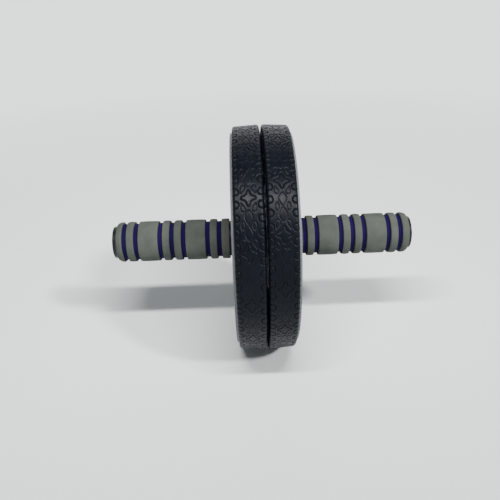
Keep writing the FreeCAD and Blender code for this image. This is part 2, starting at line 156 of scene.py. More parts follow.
# %% Join rings of points into a skin
def skin(name, shells):
    """A smooth mesh object of closed shells, each given as rings of points."""
    points, faces, first = [], [], 0
    for rings in shells:
        index = first + np.arange(rings[..., 0].size).reshape(rings.shape[:2])
        beside = np.roll(index, -1, axis=1)
        after = np.roll(index, -1, axis=0)
        opposite = np.roll(beside, -1, axis=0)
        faces.append(np.stack((index, beside, opposite, after), axis=-1).reshape(-1, 4))
        points.append(rings.reshape(-1, 3))
        first += index.size
    mesh = bpy.data.meshes.new(name)
    mesh.from_pydata(np.concatenate(points).tolist(), [], np.concatenate(faces).tolist())
    work = bmesh.new()
    work.from_mesh(mesh)
    bmesh.ops.recalc_face_normals(work, faces=work.faces)
    work.to_mesh(mesh)
    work.free()
    mesh.shade_smooth()
    print(f"{name}: {len(mesh.polygons)} faces")
    return put(name, mesh)


# %% [markdown]
# ## The tyres
#
# Each wheel wears a moulded rubber tyre. Its tread falls a little towards the outer edge and
# carries thin cut lines: stars along the middle with drops and kites between them, and half
# loops that run out over both shoulders. A bump map would draw the lines, but the loops'
# ends also break the tyre's outline, so here the lines are cut into the mesh. The pattern is
# drawn once on a tile, in millimetres round and across the tread, and the tile is repeated
# round the wheel.

# %% Measure a turned node by its distances from the axle
def radii(node):
    """The distance of each of a node's corners from the axle, and its place along the axle."""
    corners = np.array([tuple(vertex.co) for vertex in nodes[node].data.vertices])
    return np.hypot(corners[:, 1], corners[:, 2] - AXLE_HEIGHT), corners[:, 0]


# %% Measure the tyre and the rib of the rim that keys it
SHOULDER = 2.2 * MM
SAME_PLACE = MM / 100
tyre_low, tyre_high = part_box("tyre_right")
tyre_out, tyre_along = radii("tyre_right")
rim_out, rim_along = radii("wheel_rim_right")
under_tyre = rim_along < tyre_high.x - SHOULDER
TYRE_WIDTH = tyre_high.x - tyre_low.x
TYRE_SEAT = tyre_out.min()
INNER_RADIUS = tyre_out.max()
OUTER_RADIUS = tyre_out[tyre_along > tyre_high.x - SHOULDER].max()
KEY_RADIUS = rim_out[under_tyre].max()
KEY_HALF = np.ptp(rim_along[under_tyre & (rim_out > KEY_RADIUS - SAME_PLACE)]) / 2
print(f"tyre {TYRE_WIDTH:.4f} m wide, radius {INNER_RADIUS:.4f} m inside, {OUTER_RADIUS:.4f} m outside")
print(f"seat {TYRE_SEAT:.4f} m radius, key {KEY_RADIUS:.4f} m radius and {2 * KEY_HALF:.4f} m wide")

# %% Lay out the tyre's outline
TREAD_STEP = 0.34 * MM
WALL_POINTS = 3
SHOULDER_POINTS = 7
FLAT_HALF = TYRE_WIDTH / 2 - SHOULDER
FLAT_POINTS = round(2 * FLAT_HALF / TREAD_STEP)
SHOULDER_LENGTH = SHOULDER * math.pi / 2


def tyre_outline():
    """The right tyre's cross-section about its middle, and each point's place across the tread."""
    half = TYRE_WIDTH / 2
    outer_crown = OUTER_RADIUS - SHOULDER
    inner_crown = INNER_RADIUS - SHOULDER
    bore = np.array((
        (-half, TYRE_SEAT), (-KEY_HALF, TYRE_SEAT), (-KEY_HALF, KEY_RADIUS),
        (KEY_HALF, KEY_RADIUS), (KEY_HALF, TYRE_SEAT),
    ))
    outline = np.concatenate((
        bore,
        run((half, TYRE_SEAT), (half, outer_crown), WALL_POINTS),
        arc((FLAT_HALF, outer_crown), SHOULDER, 0, 90, SHOULDER_POINTS),
        run((FLAT_HALF, OUTER_RADIUS), (-FLAT_HALF, INNER_RADIUS), FLAT_POINTS),
        arc((-FLAT_HALF, inner_crown), SHOULDER, 90, 180, SHOULDER_POINTS),
        run((-half, inner_crown), (-half, TYRE_SEAT), WALL_POINTS),
    ))
    length = np.concatenate(([0], np.cumsum(np.linalg.norm(np.diff(outline, axis=0), axis=1))))
    flat_start = length[len(bore) + WALL_POINTS + SHOULDER_POINTS]
    return outline, FLAT_HALF + flat_start - length


TYRE_OUTLINE, TREAD_PLACE = tyre_outline()
print(f"tyre outline: {len(TYRE_OUTLINE)} points, {FLAT_POINTS} of them across the flat tread")

# %% [markdown]
# A line of the pattern is a list of points (across, along) on the tile. Curves drawn by a
# formula are easier to adjust than points typed in one by one: the star is a circle whose
# radius swells four times, the drop is the usual teardrop, and a kite is a sine wave that
# is mirrored. Two kites meet halfway between two stars, where their edges cross.

# %% Draw the star
TILES = 15
TILE = math.tau * INNER_RADIUS / TILES
LINE_POINTS = 48
STAR_REACH = np.array((5.1, 5.9)) * MM
STAR_WAIST = 0.56
STAR_HOLLOW = 4.1


def star():
    """A star of four round-tipped arms with hollow sides between them."""
    angle = np.linspace(0, math.tau, 2 * LINE_POINTS)
    swell = STAR_WAIST + (1 - STAR_WAIST) * np.abs(np.cos(2 * angle)) ** STAR_HOLLOW
    return STAR_REACH * np.column_stack((swell * np.cos(angle), swell * np.sin(angle)))


print(f"stars: {TILES} round the tread, {TILE / MM:.1f} mm apart")

# %% Draw the drops
DROP_POINT = np.array((4.9, 3.6)) * MM
DROP_END = np.array((3.3, 9.7)) * MM
DROP_WIDTH = 3.0 * MM
DROP_TAPER = 1.5


def drop(side, end):
    """A drop between two of the star's arms: its point by the star, its round end further along."""
    angle = np.linspace(0, math.tau, LINE_POINTS)
    swell = np.sin(angle) * np.sin(angle / 2) ** DROP_TAPER
    down = (DROP_END - DROP_POINT) / np.linalg.norm(DROP_END - DROP_POINT)
    middle = DROP_POINT + ((1 - np.cos(angle)) / 2)[:, None] * (DROP_END - DROP_POINT)
    wide = (DROP_WIDTH / 2 * swell / swell.max())[:, None] * (down[1], -down[0])
    return (middle + wide) * (side, end)


print(f"drops: {np.linalg.norm(DROP_END - DROP_POINT) / MM:.1f} mm long")

# %% Draw the kites and the ovals
KITE_START = 8.6 * MM
KITE_WIDTH = 5.2 * MM
KITE_LEAN = 0.8
OVAL_PLACE = 3.9 * MM
OVAL_RADII = np.array((1.25, 2.8)) * MM


def kite(side, end):
    """One edge of a kite, from its round tip by the star to the crossing between two stars."""
    share = np.linspace(0, 1, LINE_POINTS)
    across = KITE_WIDTH / 2 * np.sin(math.pi * share ** KITE_LEAN)
    along = KITE_START + (TILE / 2 - KITE_START) * share
    return np.column_stack((side * across, end * along))


def oval(side):
    """An oval beside the crossing."""
    angle = np.linspace(0, math.tau, LINE_POINTS)
    ring = OVAL_RADII * np.column_stack((np.cos(angle), np.sin(angle)))
    return ring + (side * OVAL_PLACE, TILE / 2)


print(f"kites: {(TILE / 2 - KITE_START) / MM:.1f} mm long")

# %% Draw the half loops that run out over the shoulders
LOOPS = 4
LOOP_TIP = FLAT_HALF - 1.9 * MM
LOOP_BEND = FLAT_HALF + 0.3 * MM
LOOP_HALF_HEIGHT = 2.5 * MM
LOOP_END = FLAT_HALF + SHOULDER_LENGTH


def half_loop(side, number):
    """A loop with a round inner end, open over one shoulder."""
    angle = np.linspace(-math.pi / 2, math.pi / 2, LINE_POINTS)
    across = LOOP_BEND - (LOOP_BEND - LOOP_TIP) * np.cos(angle)
    along = LOOP_HALF_HEIGHT * np.sin(angle)
    bend = np.column_stack((across, along))
    line = np.concatenate((((LOOP_END, -LOOP_HALF_HEIGHT),), bend, ((LOOP_END, LOOP_HALF_HEIGHT),)))
    return line * (side, 1) + (0, TILE * ((number + 0.5) / LOOPS - 0.5))


print(f"half loops: {LOOPS * TILES} on each edge, {TILE / LOOPS / MM:.1f} mm apart")

# %% [markdown]
# Each line becomes a groove with a round bottom. The Boolean modifier could cut it with a
# bevelled curve, but a tread has hundreds of grooves, and many cross. So every point of the
# tile is asked how far it lies from the nearest line, and that distance says how deep the
# point is pushed in.

# %% Measure how deep one line cuts
def distance_to(line, points):
    """Each point's distance from a line of straight pieces."""
    nearest = np.full(len(points), np.inf)
    for start, end in zip(line[:-1], line[1:]):
        along = end - start
        share = np.clip((points - start) @ along / (along @ along), 0, 1)
        nearest = np.minimum(nearest, np.linalg.norm(points - start - share[:, None] * along, axis=1))
    return nearest


def cut(line, half_width, depth, points):
    """The depth that one rounded groove cuts at each point, on this tile and the next ones."""
    away = np.min([distance_to(line + (0, shift * TILE), points) for shift in (-1, 0, 1)], axis=0)
    return depth * (1 + np.cos(math.pi * np.clip(away / half_width, 0, 1))) / 2


# %% Cut every line into the tile
TILE_STEPS = 88
LINE_HALF_WIDTH = 0.50 * MM
LINE_DEPTH = 0.40 * MM
STAR_DEPTH = 0.70 * MM
LOOP_LINE_HALF_WIDTH = 0.55 * MM
LOOP_DEPTH = 0.80 * MM

place_along = (np.arange(TILE_STEPS) / TILE_STEPS - 0.5) * TILE
tile_points = np.stack(np.meshgrid(TREAD_PLACE, place_along), axis=-1).reshape(-1, 2)
lines = [drop(side, end) for side in (-1, 1) for end in (-1, 1)]
lines += [kite(side, end) for side in (-1, 1) for end in (-1, 1)]
lines += [oval(side) for side in (-1, 1)]
loops = [half_loop(side, number) for side in (-1, 1) for number in range(LOOPS)]
cuts = [cut(star(), LINE_HALF_WIDTH, STAR_DEPTH, tile_points)]
cuts += [cut(line, LINE_HALF_WIDTH, LINE_DEPTH, tile_points) for line in lines]
cuts += [cut(loop, LOOP_LINE_HALF_WIDTH, LOOP_DEPTH, tile_points) for loop in loops]
TREAD_CUT = np.tile(np.max(cuts, axis=0).reshape(TILE_STEPS, -1), (TILES, 1))
print(f"tread: {len(cuts)} lines on a tile of {TILE / MM:.1f} mm, {TILES} tiles round")

# %% [markdown]
# The left wheel is the right one the other way about. The Mirror modifier could copy the
# finished tyre, but each tyre has stopped with its stars at its own height. So the outline
# and the cuts are mirrored before they are turned, and each tyre starts at its own angle.

# %% Turn both tyres
SIDES = {"left": -1, "right": 1}
STAR_ABOVE_FRONT = {"left": math.radians(42.7), "right": math.radians(50.5)}


def tyre(side):
    """One tyre with its tread cut in, which keeps the depth of the cuts for its material."""
    low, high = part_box(f"tyre_{side}")
    order = SIDES[side]
    outline = (TYRE_OUTLINE * (order, 1))[::order] + ((low.x + high.x) / 2, 0)
    cuts_in = TREAD_CUT[:, ::order]
    first_angle = STAR_ABOVE_FRONT[side] - math.pi / TILES
    tread = turned_points(outline, TILES * TILE_STEPS, cuts_in, first_angle)
    piece = skin(f"cut_tyre_{side}", [tread])
    depth = piece.data.attributes.new("cut_depth", "FLOAT", "POINT")
    depth.data.foreach_set("value", (cuts_in / LOOP_DEPTH).ravel().astype(np.float32))
    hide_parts(f"tyre_{side}")
    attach(piece, f"wheel_{side}")
    return piece


tyres = [tyre(side) for side in SIDES]


# %% [markdown]
# ## The foam grips
#
# A grip is a dark foam sleeve with eight grey foam rings slid over it. Foam has no sharp
# edges and no truly flat faces: the rings' shoulders are round, their tops are a little
# crowned, and hands leave them slightly lumpy. Cloth simulation suits a stuffed cushion,
# but a ring of closed-cell foam keeps its shape, so its softness is drawn into the outline
# and then pushed about by smooth noise.

# %% Find the eight rings of a grip in its node
def ring_spans(node):
    """Where each separate ring of a node starts and ends along the axle."""
    work = bmesh.new()
    work.from_mesh(nodes[node].data)
    bmesh.ops.remove_doubles(work, verts=work.verts, dist=SAME_PLACE)
    waiting = set(work.verts)
    spans = []
    while waiting:
        patch = [waiting.pop()]
        xs = []
        while patch:
            vertex = patch.pop()
            xs.append(vertex.co.x)
            for edge in vertex.link_edges:
                other = edge.other_vert(vertex)
                if other in waiting:
                    waiting.remove(other)
                    patch.append(other)
        spans.append((min(xs), max(xs)))
    work.free()
    return sorted(spans)


RING_SPANS = {side: ring_spans(f"grip_bands_{side}") for side in SIDES}
RING_RADIUS = radii("grip_bands_right")[0].max()
SLEEVE_RADIUS = radii("grip_sleeve_right")[0].max()
print("rings:", [f"{start / MM:.2f} to {end / MM:.2f}" for start, end in RING_SPANS["right"]])

# %% Shape a ring's shoulders and top
RING_CROWN = 0.15 * MM
RING_TOP = RING_RADIUS - RING_CROWN
RING_POINT_STEP = 0.8 * MM
SHOULDER_RING_POINTS = 6
LEAST_TOP_POINTS = 3


def shoulder_arc(centre, reach, fall, start, end):
    """A shoulder that reaches along the ring and falls down its side."""
    quarter = arc((0, 0), 1, start, end, SHOULDER_RING_POINTS)
    return np.column_stack((centre + reach * quarter[:, 0], RING_TOP + fall * (quarter[:, 1] - 1)))


def crowned_top(start, end):
    """The top of a ring from its far end back to its start, highest in the middle."""
    count = max(LEAST_TOP_POINTS, round((end - start) / RING_POINT_STEP))
    top = run((end, RING_RADIUS), (start, RING_RADIUS), count)
    share = (top[:, 0] - start) / (end - start)
    top[:, 1] -= RING_CROWN * (2 * share - 1) ** 2
    return top


print(f"a ring's edges lie {RING_CROWN / MM:.2f} mm lower than its middle")

# %% Close a ring's outline
RING_SHOULDER = 0.9 * MM
SHOULDER_RISE = 0.6
SHOULDER_FALL = RING_SHOULDER * SHOULDER_RISE
RING_WALL = RING_TOP - SHOULDER_FALL
FOOT_POINTS = 4
SIDE_POINTS = 2


def ring_outline(start, end, far_side, top_end):
    """A ring's cross-section: a foot, a given far side, a crowned top and a round near shoulder."""
    top_start = start + RING_SHOULDER
    return np.concatenate((
        run((start, SLEEVE_RADIUS), (end, SLEEVE_RADIUS), FOOT_POINTS),
        far_side,
        crowned_top(top_start, top_end),
        shoulder_arc(top_start, RING_SHOULDER, SHOULDER_FALL, 90, 180),
        run((start, RING_WALL), (start, SLEEVE_RADIUS), SIDE_POINTS),
    ))


def middle_ring(start, end):
    """A ring whose far shoulder is as round as its near one."""
    top_end = end - RING_SHOULDER
    far_side = np.concatenate((
        run((end, SLEEVE_RADIUS), (end, RING_WALL), SIDE_POINTS),
        shoulder_arc(top_end, RING_SHOULDER, SHOULDER_FALL, 0, 90),
    ))
    return ring_outline(start, end, far_side, top_end)


print("a ring's outline:", len(middle_ring(*RING_SPANS["right"][0])), "points")

# %% [markdown]
# The outermost ring ends in a long, round taper. The soft foam has crept out a little over
# the edge of its cap, on the right more than on the left, and closes round it. The
# Shrinkwrap modifier could lay the foam on the cap, but on a lathe form a different far
# side of the outline is enough.

# %% Shape the outermost ring
CAP_RADIUS = radii("end_cap_right")[0].max()
TIP_TAPER = 3.8 * MM
TIP_CREEP = {"left": 0.9 * MM, "right": 1.7 * MM}
CAP_ROOM = 0.15 * MM
TIP_EDGE = 0.25 * MM
TIP_POINTS = 4


def tip_ring(start, end, creep):
    """The outermost ring's cross-section, which tapers down over the edge of the cap."""
    under = CAP_RADIUS + CAP_ROOM
    tip = end + creep
    top_end = tip - TIP_TAPER
    far_side = np.concatenate((
        run((end, SLEEVE_RADIUS), (tip, under), TIP_POINTS),
        run((tip, under), (tip, under + TIP_EDGE), SIDE_POINTS),
        shoulder_arc(top_end, TIP_TAPER, RING_TOP - under - TIP_EDGE, 0, 90),
    ))
    return ring_outline(start, end, far_side, top_end)


for side, creep in TIP_CREEP.items():
    print(f"{side} tip: {creep / MM:.1f} mm over the cap's edge")

# %% [markdown]
# Used foam is never quite even: it has broad, soft lumps and small dimples. The Displace
# modifier could push the points about after a cloud texture. Asking Blender's own smooth
# noise once for each point does the same, and the script can leave out the points that
# touch the sleeve.

# %% Ask for smooth noise at every point
def lumps(rings, size, depth):
    """How far smooth noise pushes each point in, from nothing to depth."""
    flat = rings.reshape(-1, 3)
    values = np.array([noise.noise(Vector(point) / size) for point in flat])
    return (depth * (0.5 + 0.5 * values)).reshape(rings.shape[:2])


# %% Turn the rings of foam
RING_STEPS = 144
TOUCHING = MM / 10
LUMP_SIZE = 9 * MM
LUMP_DEPTH = 0.15 * MM
DIMPLE_SIZE = 2.2 * MM
DIMPLE_DEPTH = 0.06 * MM


def foam_rings(side):
    """The eight grey rings of one grip as one piece of soft foam."""
    order = SIDES[side]
    outlines = [middle_ring(start, end) for start, end in RING_SPANS["right"][:-1]]
    outlines.append(tip_ring(*RING_SPANS["right"][-1], TIP_CREEP[side]))
    shells = []
    for outline in outlines:
        outline = (outline * (order, 1))[::order]
        smooth = turned_points(outline, RING_STEPS)
        push = lumps(smooth, LUMP_SIZE, LUMP_DEPTH) + lumps(smooth, DIMPLE_SIZE, DIMPLE_DEPTH)
        push[:, outline[:, 1] <= SLEEVE_RADIUS + TOUCHING] = 0
        shells.append(turned_points(outline, RING_STEPS, push))
    piece = skin(f"foam_rings_{side}", shells)
    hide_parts(f"grip_bands_{side}")
    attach(piece, "handle")
    return piece


rings = [foam_rings(side) for side in SIDES]

# %% [markdown]
# Under the rings runs one dark sleeve, which shows only in the grooves between them. A plain
# tube would show there too, but tight rings press into soft foam. So the sleeve is pushed in
# under each ring, and noise pushes it about where it is free.

# %% Shape the dark sleeve under the rings
SLEEVE_BORE = radii("grip_sleeve_right")[0].min()
SLEEVE_STEPS = 144
SLEEVE_POINT_STEP = 0.8 * MM
SLEEVE_BORE_POINTS = 8
SLEEVE_END_POINTS = 3
SLEEVE_SQUEEZE = 0.15 * MM


def foam_sleeve(side):
    """The dark sleeve, squeezed a little where the rings grip it."""
    low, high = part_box(f"grip_sleeve_{side}")
    count = round((high.x - low.x) / SLEEVE_POINT_STEP)
    outline = np.concatenate((
        run((low.x, SLEEVE_BORE), (high.x, SLEEVE_BORE), SLEEVE_BORE_POINTS),
        run((high.x, SLEEVE_BORE), (high.x, SLEEVE_RADIUS), SLEEVE_END_POINTS),
        run((high.x, SLEEVE_RADIUS), (low.x, SLEEVE_RADIUS), count),
        run((low.x, SLEEVE_RADIUS), (low.x, SLEEVE_BORE), SLEEVE_END_POINTS),
    ))
    smooth = turned_points(outline, SLEEVE_STEPS)
    push = lumps(smooth, LUMP_SIZE, SLEEVE_SQUEEZE)
    for start, end in RING_SPANS[side]:
        push[:, (outline[:, 0] > start) & (outline[:, 0] < end)] = SLEEVE_SQUEEZE
    push[:, outline[:, 1] < SLEEVE_RADIUS - TOUCHING] = 0
    piece = skin(f"foam_sleeve_{side}", [turned_points(outline, SLEEVE_STEPS, push)])
    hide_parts(f"grip_sleeve_{side}")
    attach(piece, "handle")
    return piece


sleeves = [foam_sleeve(side) for side in SIDES]


# %% [markdown]
# ## The hard pieces
#
# Rims, bushes, washers, the spacer, cores, caps, the rod and its screws keep their solids. A
# moulded or turned edge is never quite sharp, and a thin bevel is what catches the light
# along it. The bevel could be modelled into each solid, but as modifiers it leaves the
# meshes alone: Weld joins the loose faces, Bevel rounds the sharp edges, and Weighted Normal
# keeps the large faces flat in the light.

# %% Round the hard pieces' edges
EDGE_ROUNDING = {
    "wheel_rim": 0.35 * MM,
    "end_cap": 0.30 * MM,
    "handle_core": 0.25 * MM,
    "bush_inner": 0.20 * MM,
    "bush_outer": 0.20 * MM,
    "thrust_washer": 0.15 * MM,
    "centre_spacer": 0.15 * MM,
    "axle_rod": 0.20 * MM,
    "retaining_washer": 0.15 * MM,
    "retaining_screw": 0.15 * MM,
}
SHARP_EDGE = math.radians(32)
ROUNDING_SEGMENTS = 2
JOINED_WITHIN = MM / 1000


def round_edges(node, width):
    """Modifiers that round a node's sharp edges without changing its mesh."""
    piece = nodes[node]
    piece.data.polygons.foreach_set("use_smooth", [True] * len(piece.data.polygons))
    weld = piece.modifiers.new("join faces", "WELD")
    weld.merge_threshold = JOINED_WITHIN
    bevel = piece.modifiers.new("round edges", "BEVEL")
    bevel.width = width
    bevel.segments = ROUNDING_SEGMENTS
    bevel.limit_method = "ANGLE"
    bevel.angle_limit = SHARP_EDGE
    piece.modifiers.new("flat faces stay flat", "WEIGHTED_NORMAL")


for node in nodes:
    for piece_name, width in EDGE_ROUNDING.items():
        if node.startswith(piece_name):
            round_edges(node, width)
print("edges rounded on", sum(bool(piece.modifiers) for piece in nodes.values()), "nodes")


# %% [markdown]
# ## Finishes
#
# Each finish is a node material that reads the piece's own coordinates in metres, so a
# grain of half a millimetre is half a millimetre on every piece. Image textures would need
# unwrapping and files; noise needs neither. A number that is the same all over is set on
# the shader itself, and only what varies is linked.

# %% Start a finish
def new_finish(name):
    """A new material, with its node tree and its shader."""
    finish = bpy.data.materials.new(name)
    finish.use_nodes = True
    return finish, finish.node_tree, finish.node_tree.nodes["Principled BSDF"]


# %% Noise on a piece's own coordinates
def grain(tree, size, detail=2.0, roughness=0.5):
    """Noise whose features are about size metres across."""
    place = tree.nodes.get("place") or tree.nodes.new("ShaderNodeTexCoord")
    place.name = "place"
    texture = tree.nodes.new("ShaderNodeTexNoise")
    texture.inputs["Scale"].default_value = 1 / size
    texture.inputs["Detail"].default_value = detail
    texture.inputs["Roughness"].default_value = roughness
    tree.links.new(place.outputs["Object"], texture.inputs["Vector"])
    return texture.outputs["Fac"]


# %% Colours and levels that follow a value
NOISE_LOW = 0.3
NOISE_HIGH = 0.7


def grey(value):
    """A colour with the same value in each of its three parts."""
    return (value, value, value)


def ramp(tree, value, *stops):
    """A colour ramp over a value: stops of (position, colour)."""
    node = tree.nodes.new("ShaderNodeValToRGB")
    elements = node.color_ramp.elements
    while len(elements) < len(stops):
        elements.new(1.0)
    for element, (position, colour) in zip(elements, stops):
        element.position = position
        element.color = (*colour, 1)
    tree.links.new(value, node.inputs["Fac"])
    return node.outputs["Color"]


def shades(tree, noise_value, *colours):
    """A colour ramp spread over the range where most of a noise lies."""
    return ramp(tree, noise_value, *zip(np.linspace(NOISE_LOW, NOISE_HIGH, len(colours)), colours))


def levels(tree, noise_value, low, high):
    """A noise, which mostly lies in the middle of its range, stretched to run from low to high."""
    node = tree.nodes.new("ShaderNodeMapRange")
    node.inputs["From Min"].default_value = NOISE_LOW
    node.inputs["From Max"].default_value = NOISE_HIGH
    node.inputs["To Min"].default_value = low
    node.inputs["To Max"].default_value = high
    tree.links.new(noise_value, node.inputs["Value"])
    return node.outputs["Result"]


# %% Mix two colours and raise relief
def blend(tree, share, first, second):
    """Two colours mixed by a share."""
    node = tree.nodes.new("ShaderNodeMix")
    node.data_type = "RGBA"
    tree.links.new(share, node.inputs["Factor"])
    for socket, colour in (("A", first), ("B", second)):
        sockets = [item for item in node.inputs if item.name == socket and item.type == "RGBA"]
        if isinstance(colour, tuple):
            sockets[0].default_value = (*colour, 1)
        else:
            tree.links.new(colour, sockets[0])
    return [item for item in node.outputs if item.type == "RGBA"][0]


def bump(tree, shader, height, distance, strength):
    """Small relief on the shader's normal, on top of any relief that it already has."""
    node = tree.nodes.new("ShaderNodeBump")
    node.inputs["Distance"].default_value = distance
    node.inputs["Strength"].default_value = strength
    tree.links.new(height, node.inputs["Height"])
    if shader.inputs["Normal"].is_linked:
        tree.links.new(shader.inputs["Normal"].links[0].from_socket, node.inputs["Normal"])
    tree.links.new(node.outputs["Normal"], shader.inputs["Normal"])


# %% Put a finish on pieces
def dress(finish, pieces):
    """Give pieces one finish in all their material slots."""
    for piece in pieces:
        piece.data.materials.clear()
        piece.data.materials.append(finish)
    print(f"{finish.name}: {len(pieces)} pieces")


def solids(*starts):
    """The solids whose names start with any of these words."""
    return [nodes[name] for name in sorted(nodes) if name.startswith(starts)]


# %% [markdown]
# The tyres are black rubber with a cold, slightly blue cast. Rubber from a mould is satin:
# it shines broadly under a large lamp. Handling leaves it patchy. It could be one shine all
# over, but the cut lines are made rougher, so they are duller, and their colour is painted
# darker as painted shade in the grooves. That is why the tyre kept the depth of its cuts.

# %% Rubber
RUBBER_SHADES = ((0.0017, 0.0027, 0.0050), (0.0029, 0.0042, 0.0072))
RUBBER_PATCHES = 14 * MM
RUBBER_ROUGHNESS = (0.32, 0.42)
RUBBER_SMEARS = 4 * MM
RUBBER_GLOSS = 0.10
RUBBER_GRAIN = 0.5 * MM
RUBBER_RELIEF = (0.015 * MM, 0.5)
CUT_BEGINS = 0.1
CUT_IS_DEEP = 0.6
PAINTED_CUT_SHADE = (0.0012, 0.0015, 0.0020)
PAINTED_CUT_SHADE_SHARE = 0.35
CUT_ROUGHNESS = 0.8


def tyre_rubber():
    """Black satin rubber, duller in the cut lines, whose colour is darkened as painted shade."""
    finish, tree, shader = new_finish("tyre_rubber")
    rubber = shades(tree, grain(tree, RUBBER_PATCHES, detail=3), *RUBBER_SHADES)
    depth = tree.nodes.new("ShaderNodeAttribute")
    depth.attribute_name = "cut_depth"
    cut_deep = depth.outputs["Fac"]
    # The deeper a cut, the more its colour is mixed towards a dark tone: painted shade in the grooves.
    shade = ramp(tree, cut_deep, (CUT_BEGINS, grey(0)), (CUT_IS_DEEP, grey(PAINTED_CUT_SHADE_SHARE)))
    tree.links.new(blend(tree, shade, rubber, PAINTED_CUT_SHADE), shader.inputs["Base Color"])
    satin = levels(tree, grain(tree, RUBBER_SMEARS, detail=4), *RUBBER_ROUGHNESS)
    dull = ramp(tree, cut_deep, (CUT_BEGINS, grey(0)), (CUT_IS_DEEP, grey(1)))
    tree.links.new(blend(tree, dull, satin, grey(CUT_ROUGHNESS)), shader.inputs["Roughness"])
    shader.inputs["Specular IOR Level"].default_value = RUBBER_GLOSS
    bump(tree, shader, grain(tree, RUBBER_GRAIN), *RUBBER_RELIEF)
    return finish


dress(tyre_rubber(), tyres)


# %% [markdown]
# The foam is closed-cell rubber foam with a skin of fine pores. It has almost no shine.
# One flat colour would look like plastic. The real colour drifts slowly along the grip, so
# a large noise mixes it. A fine noise raises the pores, and where they sink in the colour
# is darkened as painted shade.

# %% Foam
GREY_SHADES = ((0.048, 0.054, 0.047), (0.057, 0.064, 0.055), (0.066, 0.073, 0.063))
PURPLE_SHADES = ((0.0036, 0.0005, 0.025), (0.0046, 0.0006, 0.031), (0.0058, 0.0008, 0.038))
FOAM_DRIFT = 12 * MM
FOAM_ROUGHNESS = (0.80, 0.95)
FOAM_GLOSS = 0.12
PORE_SIZE = 0.6 * MM
PORE_HARSHNESS = 0.65
PORE_DEEP = 0.30
PORE_EDGE = 0.46
PORE_PAINTED_SHADE_SHARE = 0.55
PORE_PAINTED_SHADE = 0.45
PORE_RELIEF = (0.15 * MM, 0.6)
DENT_SIZE = 2.5 * MM
DENT_RELIEF = (0.2 * MM, 0.35)


def foam(name, dark, middle, light):
    """Dull foam in three shades of one colour, with painted shade in its pores and shallow dents."""
    finish, tree, shader = new_finish(name)
    colour = shades(tree, grain(tree, FOAM_DRIFT, detail=3), dark, middle, light)
    pores = grain(tree, PORE_SIZE, detail=3, roughness=PORE_HARSHNESS)
    # Where the pore relief sinks in, the colour is darkened: painted shade in the hollows.
    pore_shade = ramp(tree, pores, (PORE_DEEP, grey(PORE_PAINTED_SHADE_SHARE)), (PORE_EDGE, grey(0)))
    colour = blend(tree, pore_shade, colour, tuple(part * PORE_PAINTED_SHADE for part in dark))
    tree.links.new(colour, shader.inputs["Base Color"])
    tree.links.new(levels(tree, pores, *FOAM_ROUGHNESS), shader.inputs["Roughness"])
    shader.inputs["Specular IOR Level"].default_value = FOAM_GLOSS
    bump(tree, shader, pores, *PORE_RELIEF)
    bump(tree, shader, grain(tree, DENT_SIZE), *DENT_RELIEF)
    return finish


dress(foam("grey_foam", *GREY_SHADES), rings)
dress(foam("purple_foam", *PURPLE_SHADES), sleeves)


# %% [markdown]
# The wheels, caps, cores and bushes are injection mouldings. The mould leaves a fine, even
# grain, and the colour is through and through, with faint streaks where it flowed. Each could
# have a material of its own, but one recipe serves all: only shades, roughness and gloss differ.

# %% Moulded plastics
RIM_SHADES = ((0.106, 0.115, 0.126), (0.131, 0.140, 0.151))
BLACK_SHADES = ((0.005, 0.005, 0.008), (0.009, 0.009, 0.013))
FLOW_SIZE = 22 * MM
POLISH_SIZE = 6 * MM
SMOOTHER, ROUGHER = 0.06, 0.08
MOULD_GRAIN = 0.35 * MM
MOULD_RELIEF = (0.03 * MM, 0.4)


def moulded(name, dark, light, roughness, gloss):
    """A moulded plastic between two shades, with the mould's fine grain."""
    finish, tree, shader = new_finish(name)
    streaks = grain(tree, FLOW_SIZE, detail=3)
    tree.links.new(shades(tree, streaks, dark, light), shader.inputs["Base Color"])
    polish = grain(tree, POLISH_SIZE, detail=3)
    rough = levels(tree, polish, roughness - SMOOTHER, roughness + ROUGHER)
    tree.links.new(rough, shader.inputs["Roughness"])
    shader.inputs["Specular IOR Level"].default_value = gloss
    bump(tree, shader, grain(tree, MOULD_GRAIN), *MOULD_RELIEF)
    return finish


black_pieces = solids("handle_core", "bush", "thrust_washer", "centre_spacer")
dress(moulded("rim_plastic", *RIM_SHADES, roughness=0.65, gloss=0.5), solids("wheel_rim"))
dress(moulded("black_plastic", *BLACK_SHADES, roughness=0.45, gloss=0.2), black_pieces)
dress(moulded("cap_plastic", *BLACK_SHADES, roughness=0.36, gloss=0.2), solids("end_cap"))


# %% [markdown]
# The rod, its washers and its screws are steel. Even noise would look like cast metal, but a
# turned rod shows rings of fine scratches round the axle. So the noise is stretched: short
# along the rod and long round it.

# %% Steel
ROD_SHADES = ((0.50, 0.51, 0.53), (0.62, 0.63, 0.65))
SCREW_SHADES = ((0.40, 0.41, 0.43), (0.55, 0.56, 0.58))
SCRATCHES_PER_METRE = (6000, 300, 300)
SCRATCH_SPREAD = 0.08
SCRATCH_RELIEF = (0.01 * MM, 0.3)


